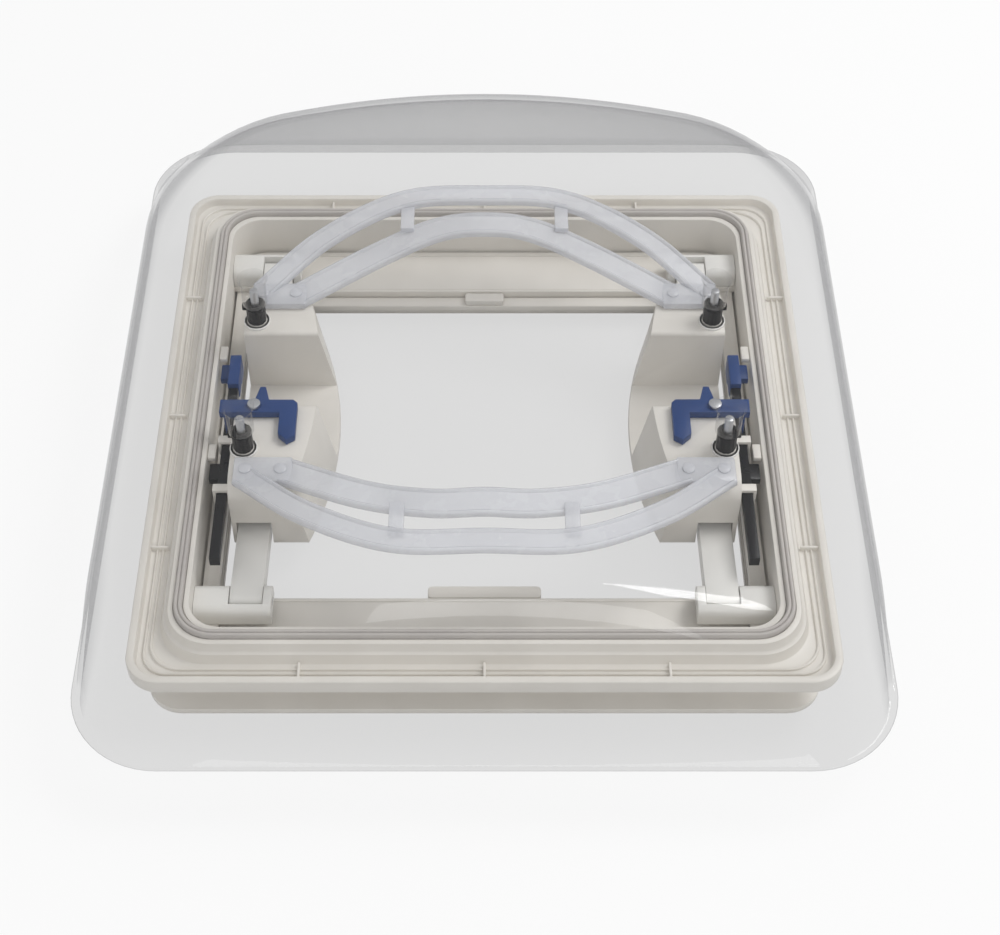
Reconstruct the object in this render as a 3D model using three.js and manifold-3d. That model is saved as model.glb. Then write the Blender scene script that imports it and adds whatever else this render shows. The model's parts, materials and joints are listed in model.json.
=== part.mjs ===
// Pop-up rooflight for a caravan roof: a clear dome on two side brackets that four levers raise
// parallel above a roof frame, with a flyscreen and a blind in the frame on the ceiling side.
// Millimetres, +Z up. Origin: middle of the opening, on the underside of the ceiling frame.
// -Y is the front, +X is the right-hand side.
import * as THREE from 'three';
import { mergeVertices } from 'three/addons/utils/BufferGeometryUtils.js';
import Module from 'manifold-3d';

// ---------- driving dimensions ----------
const ROOF_T = 32;            // thickness of the roof that is clamped
const CUTOUT = 400;           // square hole in the roof; the plan sizes follow from it
const CUTOUT_GAP = 2;         // play between the throat and the hole, each side
const THROAT_WALL = 4;        // wall of the outer frame's throat
const THROAT_DEPTH = 26;      // how far the throat reaches into the roof
const FLANGE_OVER = 32.5;     // roof flange beyond the hole, each side
const FLANGE_T = 5;
const LIP_W = 6;              // raised lip round the flange
const LIP_H = 7;
const UPSTAND_W = 14;         // wall of the upstand round the opening, at its top
const UPSTAND_H = 20;         // height of the upstand above the roof
const UPSTAND_FOOT = 6;       // how far its sloping foot spreads
const SEAL_W = 6;
const SEAL_H = 5;
const SEAL_SINK = 1.5;        // depth of the groove that holds the seal
const TRIM_OVER = 24;         // ceiling flange beyond the hole, each side
const TRIM_T = 5;
const TRIM_WALL = 4;
const TRIM_PLAY = 2;          // play between ceiling frame and throat
const WINDOW_EDGE_X = 13;     // ledge beside the clear window of the ceiling frame
const WINDOW_EDGE_Y = 46;     // ledge over each cassette
const TRIM_TOP = 24;          // top of the ceiling frame's walls
const COVER_T = 3;            // lids over the two cassettes

const DOME_OVER_X = 62;       // dome beyond the hole, left and right
const DOME_OVER_Y = 93;       // front and rear
const DOME_R = 58;            // plan corner radius at the rim
const DOME_SHOULDER_R = 110;  // plan corner radius at the shoulder
const DOME_H = 108;           // rim to crown
const DOME_ARCH_R = 570;      // radius of the arched roof of the dome
const DOME_LEAN_X = 4;        // side walls lean in this far to the shoulder
const DOME_LEAN_Y = 48;       // front and rear walls
const DOME_ROUND = 0.45;      // share of the wall's height where its rounding starts
const DOME_FILLET_X = 14;     // reach of the rounding on the roof
const DOME_FILLET_Y = 20;
const DOME_WALL = 3;
const RIM_GAP = 6;            // rim above the roof when closed

const LIFT = 58;              // how far the lid rises
const SPACER_D = 14;
const SPACER_H = 17;
const RING_D = 18;            // pale boss under each spacer
const RING_H = 2;
const BOLT_D = 6;
const POST_D = 18;

const EAR_CLEAR = 20;         // from the throat to a side bracket
const EAR_W = 69;             // width of a side bracket at its widest
const EAR_ARC_R = 285;
const EAR_DRAFT = 12;         // curved side leans outboard this much over its height
const EAR_WALL = 3;
const EAR_BASE = -16;         // underside, from the roof
const EAR_TOP = 42;           // pedestal tops, from the roof
const EAR_END_R = 14;
const REAR_PED_L = 48;        // length of the rear pedestal
const FRONT_PED_L = 77;       // length of the front pedestal
const PIN_INSET_X = 9;        // dome posts, from the bracket's outboard face
const PIN_INSET_Y = 36;       // and from its end

const LEVER_L = 86;           // pivot to lift pin
const LEVER_PIVOT_Z = -2;     // from the roof
const LEVER_START = -5.4;     // degrees, free end below the pivot
const LEVER_W = 22;
const LEVER_PLAY = 0.8;       // between the lever and the bracket's wall
const LEVER_R = 7;
const LEVER_PIN_D = 6;
const LEVER_COVER = 24.62;    // bracket's end beyond the lift pin
const SLOT_PLAY = 2.4;        // play of the lift pin in its slot, above and below
const SCREW_INSET_X = 8;      // clamping screws, from the throat
const SCREW_INSET_Y = 28;
const PIVOT_INSET = 36;       // lever pivots, from the throat

const HOOP_T = 6;             // hoop handles
const HOOP_CENTRE_Z = 72;     // from the roof, middle of the bow
const HOOP_OUTER_W = 18;
const HOOP_INNER_W = 22;
const HOOP_WEB = 10;          // width of the webs between the two bows
const PEG_D = 5;
const PEG_SPAN = 24;          // between the two pegs of a pad

const ROD_W = 7;              // lock rods beside the brackets
const ROD_H = 8;
const ROD_Z = 14;             // underside, from the roof
const ROD_CLEAR = 3;          // from the bracket
const ROD_OVER = 43;          // front end beyond the bracket
const ROD_REAR = 14;          // rear end, from the middle
const HEAD_L = 29;            // length of the head on the rod's end
const CATCH_T = 6;
const CATCH_INSET_X = 14;     // catch's screw, from the bracket's outboard face
const CATCH_INSET_Y = 7;      // and from the pedestal's inner end
const CATCH_W = 12;
const CATCH_SCREW_D = 4;
const NOSE_L = 14;            // noses that lock the lid, and how far they stand before their keepers
const KEEPER_AHEAD = 1.5;
const KEEPER_L = 13;

const ROLLER_D = 10;          // blind and flyscreen rollers
const CLOTH_D = 16;
const BAR_W = 10;             // pull bars
const BAR_H = 5;
const GAP = 0.3;              // between touching pieces
const RUN = 0.5;              // between pieces that slide

// ---------- derived places ----------
const ROOF = TRIM_T + ROOF_T;                       // roof surface
const FLANGE_OUT = CUTOUT + 2 * FLANGE_OVER;
const TRIM_OUT = CUTOUT + 2 * TRIM_OVER;
const THROAT_OUT = CUTOUT - 2 * CUTOUT_GAP;
const THROAT_IN = THROAT_OUT - 2 * THROAT_WALL;
const UPSTAND_OUT = THROAT_IN + 2 * UPSTAND_W;
const TRIM_WALL_OUT = THROAT_IN - 2 * TRIM_PLAY;
const WINDOW_X = THROAT_IN - 2 * WINDOW_EDGE_X;
const WINDOW_Y = THROAT_IN - 2 * WINDOW_EDGE_Y;
const DOME_X = CUTOUT + 2 * DOME_OVER_X;
const DOME_Y = CUTOUT + 2 * DOME_OVER_Y;
const RIM = ROOF + RIM_GAP;
const SCREW_X = THROAT_IN / 2 - SCREW_INSET_X;
const SCREW_Y = THROAT_IN / 2 - SCREW_INSET_Y;
const EAR_OUT = THROAT_IN / 2 - EAR_CLEAR;
const EAR_IN = EAR_OUT - EAR_W;
const EAR_LOW = ROOF + EAR_BASE;
const EAR_HIGH = ROOF + EAR_TOP;
const SPACER_LOW = EAR_HIGH + RING_H + GAP;
const POST_LOW = SPACER_LOW + SPACER_H + GAP;
const LEVER_X = EAR_OUT - EAR_WALL - LEVER_PLAY - LEVER_W / 2;
const LEVER_PIVOT_Y = THROAT_IN / 2 - PIVOT_INSET;
const PIVOT_Z = ROOF + LEVER_PIVOT_Z;
const START = THREE.MathUtils.degToRad(LEVER_START);
const LEVER_END_Y = LEVER_PIVOT_Y - LEVER_L * Math.cos(START);
const LEVER_END_Z = PIVOT_Z + LEVER_L * Math.sin(START);
const EAR_Y = LEVER_END_Y + LEVER_COVER;            // half the length of a side bracket
const PED_REAR = EAR_Y - REAR_PED_L;
const PED_FRONT = FRONT_PED_L - EAR_Y;
const PIN_X = EAR_OUT - PIN_INSET_X;
const PIN_Y = EAR_Y - PIN_INSET_Y;
const CATCH_PIVOT_X = EAR_OUT - CATCH_INSET_X;
const CATCH_PIVOT_Y = PED_FRONT - CATCH_INSET_Y;
const ROD_X = EAR_OUT + ROD_CLEAR + ROD_W / 2;
const ROD_Z_LOW = ROOF + ROD_Z;
const ROD_FRONT = -EAR_Y - ROD_OVER;
const HEAD_END = ROD_REAR + HEAD_L;
const REAR_NOSE = [HEAD_END + 1 - NOSE_L, HEAD_END + 1];
const FRONT_NOSE_END = CATCH_PIVOT_Y - 24;
const FRONT_NOSE = [FRONT_NOSE_END - NOSE_L, FRONT_NOSE_END];
const KEEPERS = [REAR_NOSE, FRONT_NOSE].map(([, end]) => {
  const start = end + KEEPER_AHEAD;
  return [start, start + KEEPER_L];
});

// ---------- colours ----------
const finish = {
  ivory: { color: 0xe6e2da, roughness: 0.45 },
  white: { color: 0xe9e8e4, roughness: 0.4 },
  clear: { color: 0xdfe3e6, roughness: 0.08, transparent: true, opacity: 0.3 },
  frosted: { color: 0xd3d9e0, roughness: 0.25, transparent: true, opacity: 0.7 },
  black: { color: 0x0c0c0e, roughness: 0.35 },
  blue: { color: 0x1c3a72, roughness: 0.4 },
  rubber: { color: 0x8b8682, roughness: 0.8 },
  steel: { color: 0xb9bcc0, roughness: 0.3, metalness: 1 },
  cloth: { color: 0xcfd0d0, roughness: 0.9 },
};

// ---------- joining and cutting ----------
const wasm = await Module();
wasm.setup();

function solid(geometry) {
  const bare = geometry.index ? geometry.toNonIndexed() : geometry.clone();
  bare.deleteAttribute('normal');
  bare.deleteAttribute('uv');
  const merged = mergeVertices(bare, 1e-4);
  return new wasm.Manifold(new wasm.Mesh({
    numProp: 3,
    vertProperties: new Float32Array(merged.attributes.position.array),
    triVerts: new Uint32Array(merged.index.array),
  }));
}

function geometryOf(body) {
  const mesh = body.getMesh();
  const geometry = new THREE.BufferGeometry();
  geometry.setAttribute('position', new THREE.BufferAttribute(mesh.vertProperties, 3));
  geometry.setIndex(new THREE.BufferAttribute(mesh.triVerts, 1));
  return geometry;
}

// ---------- basic solids ----------
function box(x0, x1, y0, y1, z0, z1) {
  const geometry = new THREE.BoxGeometry(x1 - x0, y1 - y0, z1 - z0);
  geometry.translate((x0 + x1) / 2, (y0 + y1) / 2, (z0 + z1) / 2);
  return solid(geometry);
}

function roundRect(width, length, radius, segments = 4) {
  const shape = new THREE.Shape();
  const a = width / 2;
  const b = length / 2;
  shape.moveTo(a, -b + radius);
  shape.lineTo(a, b - radius);
  shape.absarc(a - radius, b - radius, radius, 0, Math.PI / 2);
  shape.absarc(-a + radius, b - radius, radius, Math.PI / 2, Math.PI);
  shape.absarc(-a + radius, -b + radius, radius, Math.PI, 1.5 * Math.PI);
  shape.absarc(a - radius, -b + radius, radius, 1.5 * Math.PI, 2 * Math.PI);
  return new THREE.Shape(shape.extractPoints(segments).shape);
}

function prism(shape, z0, z1, segments = 4) {
  const options = { depth: z1 - z0, bevelEnabled: false, curveSegments: segments };
  return solid(new THREE.ExtrudeGeometry(shape, options).translate(0, 0, z0));
}

function plate(width, length, radius, z0, z1) {
  return prism(roundRect(width, length, radius), z0, z1);
}

// A frustum of rounded rectangle: both outlines have the same number of points.
function frustum(low, high, z0, z1) {
  const a = low.extractPoints(4).shape;
  const b = high.extractPoints(4).shape;
  return loft([a.map((p) => [p.x, p.y, z0]), b.map((p) => [p.x, p.y, z1])]);
}

// Closed solid through rings of points, capped flat at both ends.
function loft(rings) {
  const count = rings[0].length;
  const position = [];
  const index = [];
  rings.forEach((ring) => ring.forEach((point) => position.push(...point)));
  for (let r = 0; r < rings.length - 1; r += 1) {
    for (let i = 0; i < count; i += 1) {
      const a = r * count + i;
      const b = r * count + (i + 1) % count;
      index.push(a, b, b + count, a, b + count, a + count);
    }
  }
  [[0, false], [rings.length - 1, true]].forEach(([r, up]) => {
    const middle = position.length / 3;
    const sum = rings[r].reduce((s, p) => [s[0] + p[0], s[1] + p[1], s[2] + p[2]], [0, 0, 0]);
    position.push(...sum.map((value) => value / count));
    for (let i = 0; i < count; i += 1) {
      const a = r * count + i;
      const b = r * count + (i + 1) % count;
      index.push(...(up ? [a, b, middle] : [b, a, middle]));
    }
  });
  const geometry = new THREE.BufferGeometry();
  geometry.setAttribute('position', new THREE.BufferAttribute(new Float32Array(position), 3));
  geometry.setIndex(index);
  return solid(geometry);
}

// Cylinder along x, y or z.
function rod(axis, diameter, from, to, a, b, sides = 14) {
  const geometry = new THREE.CylinderGeometry(diameter / 2, diameter / 2, to - from, sides);
  const middle = (from + to) / 2;
  if (axis === 'x') geometry.rotateZ(Math.PI / 2).translate(middle, a, b);
  if (axis === 'y') geometry.translate(a, middle, b);
  if (axis === 'z') geometry.rotateX(Math.PI / 2).translate(a, b, middle);
  return solid(geometry);
}

// Outline in the YZ plane, extruded along X.
function profileX(shape, x0, x1, segments = 5) {
  const options = { depth: x1 - x0, bevelEnabled: false, curveSegments: segments };
  const geometry = new THREE.ExtrudeGeometry(shape, options);
  geometry.applyMatrix4(new THREE.Matrix4().makeBasis(
    new THREE.Vector3(0, 1, 0), new THREE.Vector3(0, 0, 1), new THREE.Vector3(1, 0, 0)));
  return solid(geometry.translate(x0, 0, 0));
}

// ---------- assembly ----------
const rooflight = new THREE.Group();

function put(name, look, body, mirrorX = false, mirrorY = false) {
  let placed = body;
  if (mirrorX) placed = placed.mirror([1, 0, 0]);
  if (mirrorY) placed = placed.mirror([0, 1, 0]);
  const material = new THREE.MeshStandardMaterial(finish[look]);
  const mesh = new THREE.Mesh(geometryOf(placed), material);
  mesh.name = name;
  rooflight.add(mesh);
}

const SIDES = [['left', false], ['right', true]];
const ENDS = [['front', false], ['rear', true]];

// ---------- outer frame ----------
const KEEPER_REACH = 6;                      // tabs that the lock noses slide under
const KEEPER_LOW = ROOF + 15;
const KEEPER_H = 4;
const SHELF_IN = SCREW_X - 8;                // corner shelves that carry the hinge brackets
const SHELF_Y = [SCREW_Y - 19, SCREW_Y + 10];
const SHELF_T = 5;
const SHELF_LOW = TRIM_TOP + GAP;
const SCREW_D = 4;
const SCREW_HOLE = SCREW_D + 2 * GAP;
const BRACKET_LOW = SHELF_LOW + SHELF_T + GAP;
const BRACKET_TOP = PIVOT_Z + LEVER_R + 1.6;

function eachCorner(make) {
  ENDS.forEach(([end, rear]) => SIDES.forEach(([side, right]) => make(`${end}_${side}`, right, rear)));
}

function mirrored(body, right, rear) {
  const turned = right ? body.mirror([1, 0, 0]) : body;
  return rear ? turned.mirror([0, 1, 0]) : turned;
}

const SEAL_IN = THROAT_IN + UPSTAND_W - SEAL_W;

function outerFrame() {
  const lipIn = FLANGE_OUT - 2 * LIP_W;
  const lipTop = ROOF + FLANGE_T + LIP_H;
  const upTop = ROOF + UPSTAND_H;
  let body = plate(FLANGE_OUT, FLANGE_OUT, 22, ROOF, lipTop);
  body = body.subtract(plate(lipIn, lipIn, 18, ROOF + FLANGE_T, lipTop + 1));
  const foot = UPSTAND_OUT + 2 * UPSTAND_FOOT;
  body = body.add(frustum(roundRect(foot, foot, 34), roundRect(UPSTAND_OUT, UPSTAND_OUT, 30),
    ROOF + FLANGE_T - 1, upTop));
  body = body.add(plate(THROAT_OUT, THROAT_OUT, 26, ROOF - THROAT_DEPTH, ROOF + 1));
  body = body.subtract(plate(THROAT_IN, THROAT_IN, 22, 0, upTop + 1));
  const grooveOut = SEAL_IN + 2 * SEAL_W + 2 * GAP;
  const grooveIn = SEAL_IN - 2 * GAP;
  const groove = plate(grooveOut, grooveOut, 28, upTop - SEAL_SINK, upTop + 1)
    .subtract(plate(grooveIn, grooveIn, 22, ROOF, upTop + 2));
  body = body.subtract(groove);
  const wall = THROAT_IN / 2;
  eachCorner((name, right, rear) => {
    const shelf = box(-wall - 1, -SHELF_IN, -SHELF_Y[1], -SHELF_Y[0], SHELF_LOW, SHELF_LOW + SHELF_T)
      .subtract(rod('z', SCREW_HOLE, SHELF_LOW - 1, BRACKET_LOW, -SCREW_X, -SCREW_Y));
    body = body.add(mirrored(shelf, right, rear));
  });
  return body;
}

function upstandSeal() {
  const outer = SEAL_IN + 2 * SEAL_W;
  const low = ROOF + UPSTAND_H - SEAL_SINK + GAP;
  return frustum(roundRect(outer, outer, 28), roundRect(outer - 4, outer - 4, 27), low, low + SEAL_H)
    .subtract(plate(SEAL_IN, SEAL_IN, 22, low - 1, low + SEAL_H + 1));
}

put('outer_frame', 'ivory', outerFrame());
put('upstand_seal', 'rubber', upstandSeal());
SIDES.forEach(([side, right]) => KEEPERS.forEach(([y0, y1], i) => {
  const keeper = box(-THROAT_IN / 2 + GAP, -THROAT_IN / 2 + KEEPER_REACH, y0, y1,
    KEEPER_LOW, KEEPER_LOW + KEEPER_H);
  put(`lock_keeper_${i === 0 ? 'rear' : 'front'}_${side}`, 'ivory', keeper, right);
}));

// ---------- ceiling frame with its two cassettes ----------
const CASSETTE_X = TRIM_WALL_OUT / 2 - 14;   // half the inside length of a cassette
const CASSETTE_IN = WINDOW_Y / 2 + 2;
const CASSETTE_OUT = TRIM_WALL_OUT / 2 - TRIM_WALL;
const CASSETTE_FLOOR = 3;
const ROLLER_Y = (CASSETTE_IN + CASSETTE_OUT) / 2;
const ROLLER_Z = (CASSETTE_FLOOR + TRIM_TOP - COVER_T) / 2;
const AXLE_D = 5;
const AXLE_END = CASSETTE_X + 5;
const SCREEN_Z = TRIM_TOP - COVER_T - BAR_H - 2.5;
const BLIND_Z = TRIM_T + 1;
const GUIDE_DEPTH = 3;
const SLIT = 3;
const HEAD_D = 8;
const HEAD_H = 3;

function ceilingFrame() {
  let body = plate(TRIM_OUT, TRIM_OUT, 24, 0, TRIM_T);
  body = body.add(plate(TRIM_WALL_OUT, TRIM_WALL_OUT, 20, 0, TRIM_TOP));
  body = body.subtract(plate(WINDOW_X, WINDOW_Y, 3, -1, TRIM_TOP + 1));
  const end = WINDOW_Y / 2;
  [[1, SCREEN_Z], [-1, BLIND_Z]].forEach(([s, exitZ]) => {
    const cavity = box(-CASSETTE_X, CASSETTE_X, CASSETTE_IN, CASSETTE_OUT, CASSETTE_FLOOR, TRIM_TOP + 1)
      .add(rod('x', AXLE_D + 2 * GAP, -AXLE_END - GAP, AXLE_END + GAP, ROLLER_Y, ROLLER_Z, 12))
      .add(box(-CASSETTE_X + 8, CASSETTE_X - 8, end - 1, CASSETTE_IN + 1, exitZ + 1, exitZ + 1 + SLIT));
    body = body.subtract(mirrored(cavity, false, s < 0));
    const x = s * WINDOW_X / 2;
    [SCREEN_Z, BLIND_Z].forEach((z) => {
      body = body.subtract(box(x - GUIDE_DEPTH, x + GUIDE_DEPTH, -end - 1, end + 1,
        z - RUN, z + BAR_H + RUN));
    });
  });
  eachCorner((name, right, rear) => {
    const hole = rod('z', SCREW_HOLE, -1, TRIM_TOP + 1, -SCREW_X, -SCREW_Y)
      .add(rod('z', HEAD_D + 2 * GAP, -1, HEAD_H + 2 * GAP, -SCREW_X, -SCREW_Y));
    body = body.subtract(mirrored(hole, right, rear));
  });
  return body;
}

put('ceiling_frame', 'ivory', ceilingFrame());

function clampScrew() {
  return rod('z', HEAD_D, GAP, GAP + HEAD_H, -SCREW_X, -SCREW_Y)
    .add(rod('z', SCREW_D, HEAD_H, BRACKET_LOW + 6, -SCREW_X, -SCREW_Y, 12))
    .subtract(box(-SCREW_X - 3, -SCREW_X + 3, -SCREW_Y - 0.6, -SCREW_Y + 0.6, 0, GAP + 1.2));
}

const SPRING_WIRE = 1.2;
const SPRING_TURNS = 4;
const SPRING_L = 9;
const ROLLER_START = -CASSETTE_X + SPRING_L + 2;
const ROLLER_STOP = CASSETTE_X - RUN;
const CLOTH_HALF = CASSETTE_X - 16;

function roller() {
  return rod('x', ROLLER_D, ROLLER_START, ROLLER_STOP, ROLLER_Y, ROLLER_Z, 16)
    .add(rod('x', AXLE_D, -AXLE_END, AXLE_END, ROLLER_Y, ROLLER_Z, 12));
}

function clothRoll() {
  return rod('x', CLOTH_D, -CLOTH_HALF, CLOTH_HALF, ROLLER_Y, ROLLER_Z, 20)
    .subtract(rod('x', ROLLER_D + 2 * GAP, -CLOTH_HALF - 1, CLOTH_HALF + 1, ROLLER_Y, ROLLER_Z, 20));
}

class Coil extends THREE.Curve {
  getPoint(t, target = new THREE.Vector3()) {
    const radius = (AXLE_D + SPRING_WIRE) / 2 + GAP;
    const angle = t * SPRING_TURNS * 2 * Math.PI;
    const x = -CASSETTE_X + 1 + t * SPRING_L;
    return target.set(x, ROLLER_Y + radius * Math.cos(angle), ROLLER_Z + radius * Math.sin(angle));
  }
}

function rollerSpring() {
  const section = new THREE.Shape();
  section.absarc(0, 0, SPRING_WIRE / 2, 0, 2 * Math.PI);
  const options = { extrudePath: new Coil(), steps: SPRING_TURNS * 9, curveSegments: 2 };
  return solid(new THREE.ExtrudeGeometry(section, { ...options, bevelEnabled: false }));
}

function cassetteCover() {
  return box(-CASSETTE_X + GAP, CASSETTE_X - GAP, CASSETTE_IN + GAP, CASSETTE_OUT - GAP,
    TRIM_TOP - COVER_T, TRIM_TOP);
}

const BAR_HALF = WINDOW_X / 2 + GUIDE_DEPTH - RUN;
const BAR_OUT = WINDOW_Y / 2 - RUN;

function pullBar(z) {
  return box(-BAR_HALF, BAR_HALF, BAR_OUT - BAR_W, BAR_OUT, z, z + BAR_H);
}

[['flyscreen', SCREEN_Z, false], ['blind', BLIND_Z, true]].forEach(([name, z, front]) => {
  put(`${name}_cassette_cover`, 'ivory', cassetteCover(), false, front);
  put(`${name}_roller`, 'steel', roller(), false, front);
  put(`${name}_cloth_roll`, 'cloth', clothRoll(), false, front);
  put(`${name}_roller_spring`, 'steel', rollerSpring(), false, front);
  put(`${name}_pull_bar`, 'ivory', pullBar(z), false, front);
});
put('flyscreen_grip', 'ivory', plate(30, 9, 2, SCREEN_Z + BAR_H + GAP, SCREEN_Z + BAR_H + 5)
  .translate([0, BAR_OUT - BAR_W / 2, 0]));
put('blind_grip', 'ivory', plate(78, 10, 3, BLIND_Z, BLIND_Z + BAR_H)
  .translate([0, -BAR_OUT + BAR_W + 5 + GAP, 0]));

// ---------- hinge brackets, levers and their pins ----------
const BRACKET_IN = LEVER_X - LEVER_W / 2 - 6.2;
const BRACKET_Y = [SCREW_Y - 18, SCREW_Y + 7];
const KNUCKLE_PLAY = 0.6;
const PIN_HOLE = LEVER_PIN_D + 2 * GAP;
const LIFT_PIN_END = EAR_OUT + 1;

function hingeBracket() {
  const slotIn = LEVER_X - LEVER_W / 2 - KNUCKLE_PLAY;
  const slotOut = LEVER_X + LEVER_W / 2 + KNUCKLE_PLAY;
  const outline = new THREE.Shape();
  const crown = 7;
  outline.moveTo(-BRACKET_Y[1], BRACKET_LOW);
  outline.lineTo(-BRACKET_Y[0], BRACKET_LOW);
  outline.absarc(-BRACKET_Y[0] - crown, BRACKET_TOP - crown, crown, 0, Math.PI / 2);
  outline.absarc(-BRACKET_Y[1] + crown, BRACKET_TOP - crown, crown, Math.PI / 2, Math.PI);
  return profileX(outline, -THROAT_IN / 2 + GAP, -BRACKET_IN, 5)
    .subtract(box(-slotOut, -slotIn, -LEVER_PIVOT_Y - LEVER_R - 1.5, -BRACKET_Y[0] + 1,
      BRACKET_LOW - 1, BRACKET_TOP + 1))
    .subtract(rod('x', PIN_HOLE, -SHELF_IN, -BRACKET_IN + 1, -LEVER_PIVOT_Y, PIVOT_Z))
    .subtract(rod('z', SCREW_HOLE, BRACKET_LOW - 1, BRACKET_LOW + 7, -SCREW_X, -SCREW_Y));
}

function lever() {
  const outline = new THREE.Shape();
  const lean = Math.PI / 2 + START;
  outline.absarc(-LEVER_END_Y, LEVER_END_Z, LEVER_R, -Math.PI + lean, lean);
  outline.absarc(-LEVER_PIVOT_Y, PIVOT_Z, LEVER_R, lean, Math.PI + lean);
  return profileX(outline, -LEVER_X - LEVER_W / 2, -LEVER_X + LEVER_W / 2)
    .subtract(rod('x', PIN_HOLE, -EAR_OUT, -BRACKET_IN, -LEVER_PIVOT_Y, PIVOT_Z))
    .subtract(rod('x', PIN_HOLE, -EAR_OUT, -BRACKET_IN, -LEVER_END_Y, LEVER_END_Z));
}

eachCorner((name, right, rear) => {
  put(`clamp_screw_${name}`, 'steel', clampScrew(), right, rear);
  put(`hinge_bracket_${name}`, 'white', hingeBracket(), right, rear);
  put(`hinge_pin_${name}`, 'steel',
    rod('x', LEVER_PIN_D, -SHELF_IN + GAP, -BRACKET_IN - GAP, -LEVER_PIVOT_Y, PIVOT_Z), right, rear);
  put(`lift_lever_${name}`, 'white', lever(), right, rear);
  put(`lift_pin_${name}`, 'steel',
    rod('x', LEVER_PIN_D, -LIFT_PIN_END, -LEVER_X + LEVER_W / 2 - GAP, -LEVER_END_Y, LEVER_END_Z),
    right, rear);
});

// ---------- side brackets ----------
const EAR_PLATE = 3;                         // floor between the pedestals
const LOOP_L = 6;                            // guides for the lock rod
const LOOPS = [13, 57].map((inset) => [inset - EAR_Y, inset - EAR_Y + LOOP_L]);
const LEVER_TOP = Math.asin((LIFT + LEVER_END_Z - PIVOT_Z) / LEVER_L);
const SLOT_FAR = LEVER_PIVOT_Y - LEVER_L * Math.cos(LEVER_TOP) + PIN_HOLE / 2 + GAP;
const SLOT_NEAR = LEVER_END_Y - PIN_HOLE / 2 - GAP;

// Plan of the bracket, with its straight side outboard; the curved side leans out with height.
function earBlock(inset) {
  const half = EAR_Y + 3 - inset;
  const radius = EAR_ARC_R - inset;
  const middle = -EAR_IN - EAR_ARC_R;
  const spread = Math.asin(half / radius);
  const plan = new THREE.Shape();
  plan.moveTo(-EAR_OUT + inset, half);
  plan.lineTo(-EAR_OUT + inset, -half);
  plan.absarc(middle, 0, radius, -spread, spread);
  const low = EAR_LOW - 2;
  const height = EAR_HIGH + 4 - low;
  const options = { depth: height, bevelEnabled: false, curveSegments: 10, steps: 1 };
  const geometry = new THREE.ExtrudeGeometry(plan, options).translate(0, 0, low);
  const place = geometry.attributes.position;
  const ratio = EAR_DRAFT / (EAR_OUT - EAR_IN) / (EAR_HIGH - EAR_LOW);
  for (let i = 0; i < place.count; i += 1) {
    const shrink = 1 - ratio * (place.getZ(i) - EAR_LOW);
    place.setX(i, -EAR_OUT + inset + (place.getX(i) + EAR_OUT - inset) * shrink);
  }
  return solid(geometry);
}

// One pedestal in the YZ plane: big rounding at its outer end, small at its inner end.
function pedestal(inner, inset, sign) {
  const outer = EAR_Y - inset;
  const top = EAR_HIGH - inset;
  const low = inset > 0 ? EAR_LOW - 1 : EAR_LOW;
  const small = 3;
  const big = EAR_END_R - inset;
  const near = sign * inner + inset;
  const outline = new THREE.Shape();
  outline.moveTo(near, low);
  outline.lineTo(outer, low);
  outline.absarc(outer - big, top - big, big, 0, Math.PI / 2);
  outline.absarc(near + small, top - small, small, Math.PI / 2, Math.PI);
  const body = profileX(outline, -EAR_OUT - 1, -EAR_IN + 1, 5);
  return sign < 0 ? body.mirror([0, 1, 0]) : body;
}

function ear() {
  const floor = box(-EAR_OUT - 1, -EAR_IN + 1, PED_FRONT - 1, PED_REAR + 1, EAR_LOW, EAR_LOW + EAR_PLATE);
  const outer = pedestal(PED_REAR, 0, 1).add(pedestal(PED_FRONT, 0, -1)).add(floor);
  const hollow = pedestal(PED_REAR, EAR_WALL, 1).add(pedestal(PED_FRONT, EAR_WALL, -1));
  let body = earBlock(0).intersect(outer).subtract(earBlock(EAR_WALL).intersect(hollow));
  const mouthIn = -LEVER_X + LEVER_W / 2 + 1.5;
  [false, true].forEach((rear) => {
    const y = rear ? PIN_Y : -PIN_Y;
    const mouth = box(-EAR_OUT + EAR_WALL, mouthIn, -EAR_Y - 1, -EAR_Y + EAR_WALL + 1,
      EAR_LOW - 1, ROOF + 6);
    const slot = box(-EAR_OUT - 1, -EAR_OUT + EAR_WALL + 1, -SLOT_FAR, -SLOT_NEAR,
      LEVER_END_Z - PIN_HOLE / 2 - SLOT_PLAY, LEVER_END_Z + PIN_HOLE / 2 + SLOT_PLAY);
    body = body.subtract(mirrored(mouth.add(slot), false, rear));
    body = body.add(rod('z', RING_D, EAR_HIGH - 1, EAR_HIGH + RING_H, -PIN_X, y));
    body = body.subtract(rod('z', BOLT_D + 2 * GAP, EAR_HIGH - EAR_WALL - 1, EAR_HIGH + RING_H + 1,
      -PIN_X, y, 12));
    body = body.subtract(mirrored(hoopPegs(2 * GAP), false, rear));
  });
  LOOPS.forEach(([y0, y1]) => {
    const out = ROD_X + ROD_W / 2;
    const loop = box(-out - 2.5, -EAR_OUT + 1, y0, y1, ROD_Z_LOW - 3, ROD_Z_LOW + ROD_H + 3)
      .subtract(box(-out - RUN, -EAR_OUT - 1.5, y0 - 1, y1 + 1, ROD_Z_LOW - RUN, ROD_Z_LOW + ROD_H + RUN));
    body = body.add(loop);
  });
  return body.subtract(rod('z', CATCH_SCREW_D + 2 * GAP, EAR_HIGH - EAR_WALL - 1, EAR_HIGH + 1,
    -CATCH_PIVOT_X, CATCH_PIVOT_Y, 12));
}

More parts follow.
